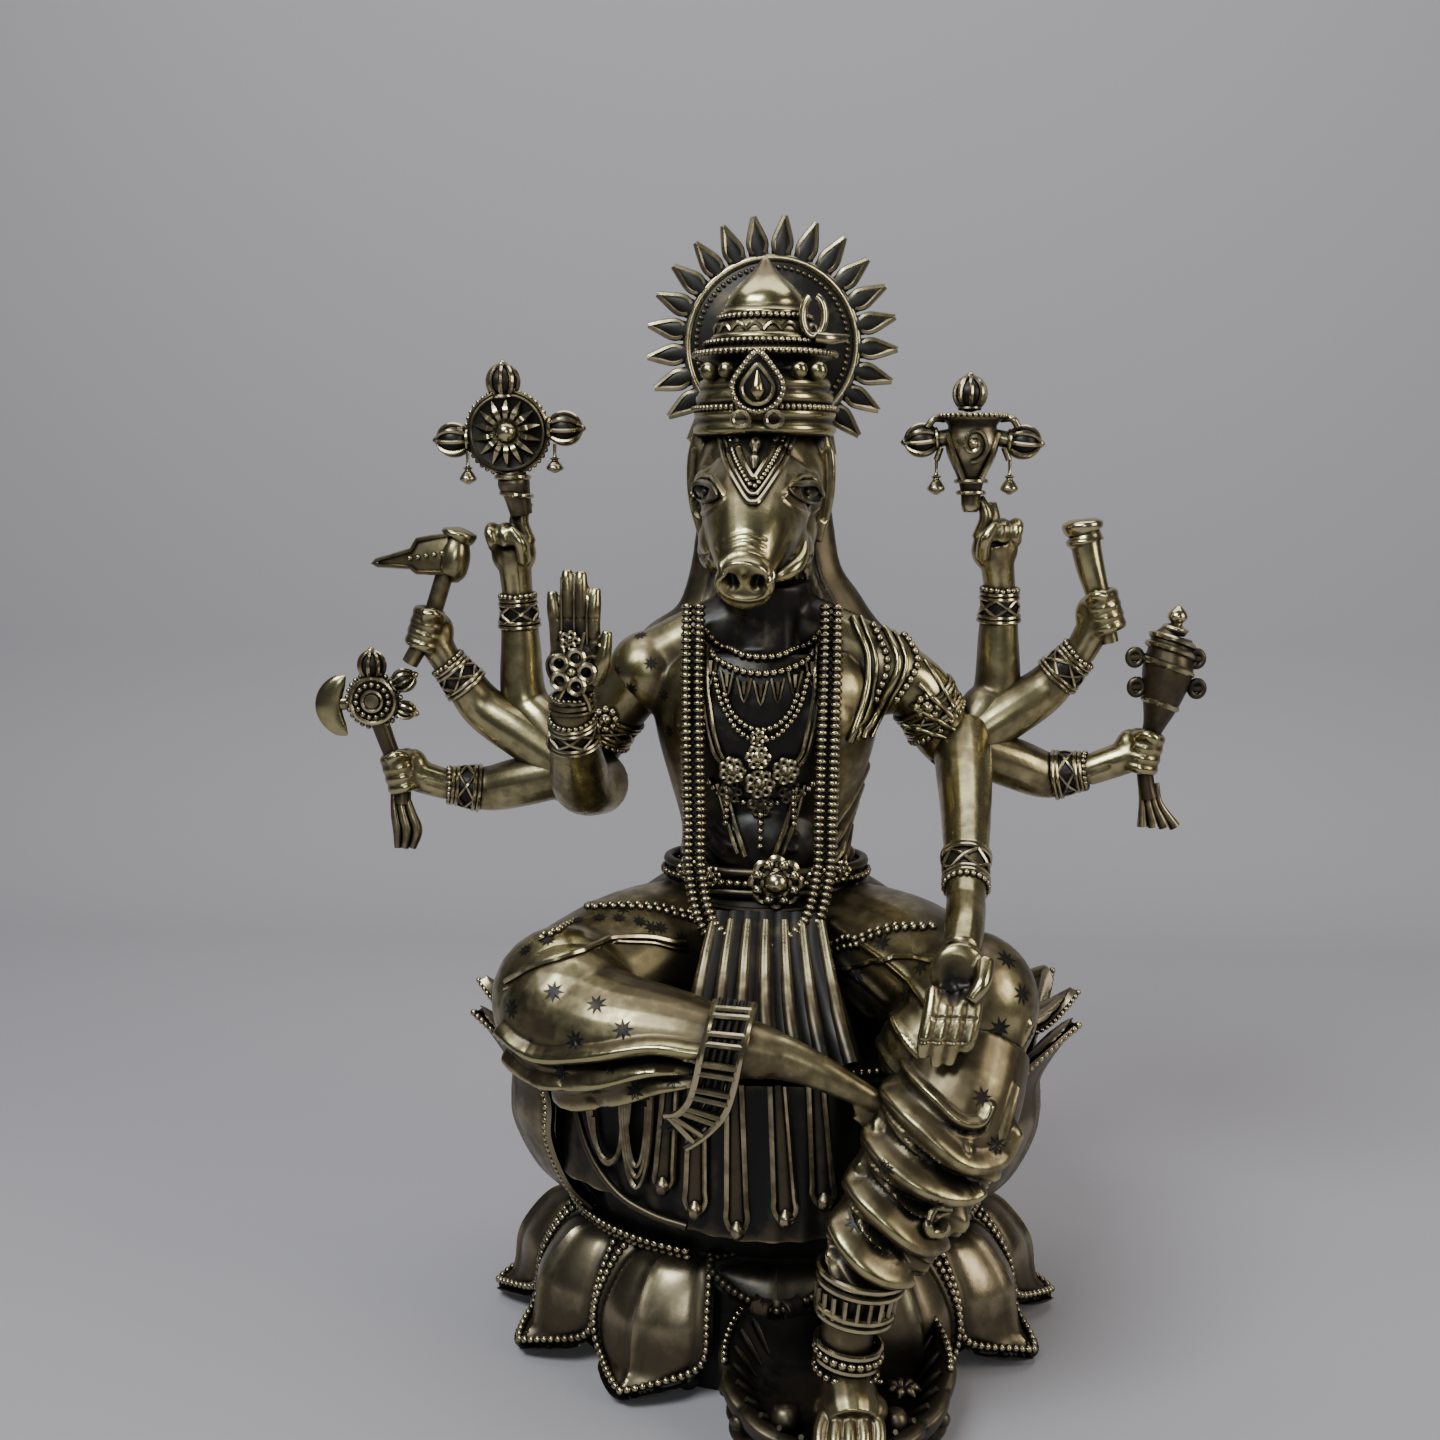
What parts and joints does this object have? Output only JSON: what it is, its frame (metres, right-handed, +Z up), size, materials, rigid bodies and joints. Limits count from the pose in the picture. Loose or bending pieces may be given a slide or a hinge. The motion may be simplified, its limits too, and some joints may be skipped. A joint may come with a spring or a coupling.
{
  "type": "seated deity statue",
  "caption": "Cast brass shrine statue of a boar-headed, many-armed deity seated with one leg hanging on a double lotus throne, with a rayed halo.",
  "frame": {"origin": "centre of the bounding rectangle of the whole statue seen from above, on the surface it stands on", "axes": "+X to the viewer's right, which is the figure's own left; +Y to the back; +Z up"},
  "size_m": [0.1768, 0.11, 0.2193],
  "materials": {
    "figure_brass": "antique brass, rubbed bright on the raised skin and near black in the recesses",
    "ornament_brass": "antique brass, beaded and chased, dark between the beads",
    "throne_brass": "antique brass, olive brown, rubbed along the petal ribs and rims",
    "zinc_steel": "plain zinc-plated screw, out of sight under the throne"
  },
  "bodies": {
    "root": {"apron": "figure_brass", "belt": "ornament_brass", "boar_head": "figure_brass", "conch": "ornament_brass", "crescent": "ornament_brass", "crown": "figure_brass", "discus": "ornament_brass", "footrest_lotus": "throne_brass", "front_cloth": "throne_brass", "front_left_forearm": "figure_brass", "front_right_forearm": "figure_brass", "garland": "ornament_brass", "goad": "ornament_brass", "halo": "ornament_brass", "halo_pin": "ornament_brass", "hips": "figure_brass", "inner_lotus": "throne_brass", "left_foot": "figure_brass", "left_forearm_conch": "figure_brass", "left_forearm_noose": "figure_brass", "left_forearm_pestle": "figure_brass", "left_shin": "figure_brass", "left_thigh": "figure_brass", "left_tusk": "figure_brass", "left_upper_arm": "figure_brass", "lower_petal_01": "throne_brass", "lower_petal_02": "throne_brass", "lower_petal_03": "throne_brass", "lower_petal_04": "throne_brass", "lower_petal_05": "throne_brass", "lower_petal_06": "throne_brass", "lower_petal_07": "throne_brass", "lower_petal_08": "throne_brass", "lower_petal_09": "throne_brass", "lower_petal_10": "throne_brass", "lower_petal_11": "throne_brass", "lower_petal_12": "throne_brass", "neck_veil": "figure_brass", "necklace": "ornament_brass", "noose": "ornament_brass", "pestle": "ornament_brass", "plough": "ornament_brass", "right_forearm_discus": "figure_brass", "right_forearm_goad": "figure_brass", "right_forearm_plough": "figure_brass", "right_shin": "figure_brass", "right_thigh": "figure_brass", "right_tusk": "figure_brass", "right_upper_arm": "figure_brass", "seat_bolt": "zinc_steel", "throne_core": "throne_brass", "torso": "figure_brass", "upper_petal_1": "throne_brass", "upper_petal_2": "throne_brass", "upper_petal_3": "throne_brass", "upper_petal_4": "throne_brass", "upper_petal_5": "throne_brass", "upper_petal_6": "throne_brass"}
  },
  "joints": []
}
